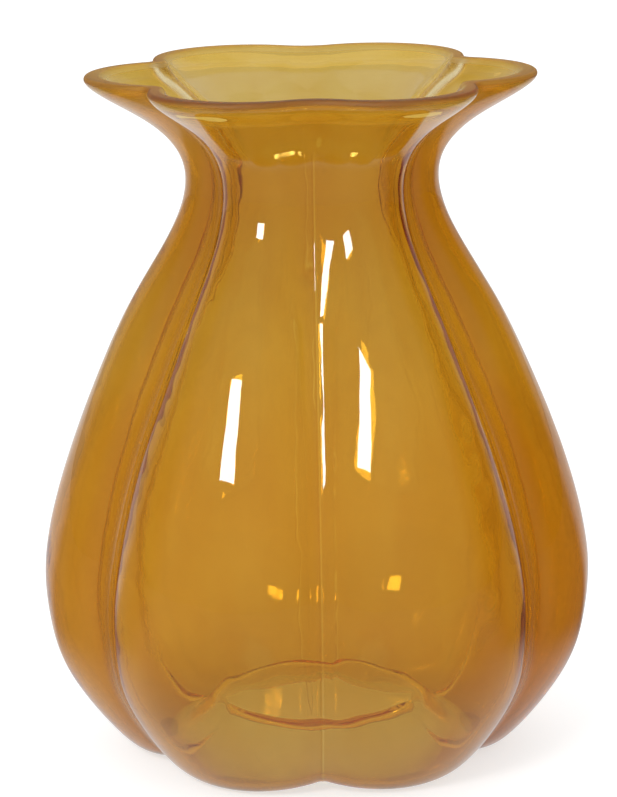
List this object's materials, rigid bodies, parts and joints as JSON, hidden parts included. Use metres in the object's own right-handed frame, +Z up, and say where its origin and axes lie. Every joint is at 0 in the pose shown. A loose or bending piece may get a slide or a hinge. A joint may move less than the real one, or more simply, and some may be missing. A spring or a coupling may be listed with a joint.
{
  "type": "gourd vase",
  "caption": "Mould-blown amber glass flower vase: lobed gourd body on a pushed-up base, narrow waist and a wide flared scalloped mouth.",
  "frame": {"origin": "on the vase's vertical axis at the level of the table that its six ground foot flats stand on", "axes": "+Z up along the vase's axis; lobe crests lie at 0, 60, 120 ... degrees from +X, so one crease runs down the front, which is -Y"},
  "size_m": [0.2316, 0.216, 0.29],
  "materials": {
    "amber_glass": "clear glass stained amber on its outer face, fire-polished; lip face and foot flats ground"
  },
  "bodies": {
    "root": {"glass_vessel": "amber_glass"}
  },
  "joints": []
}
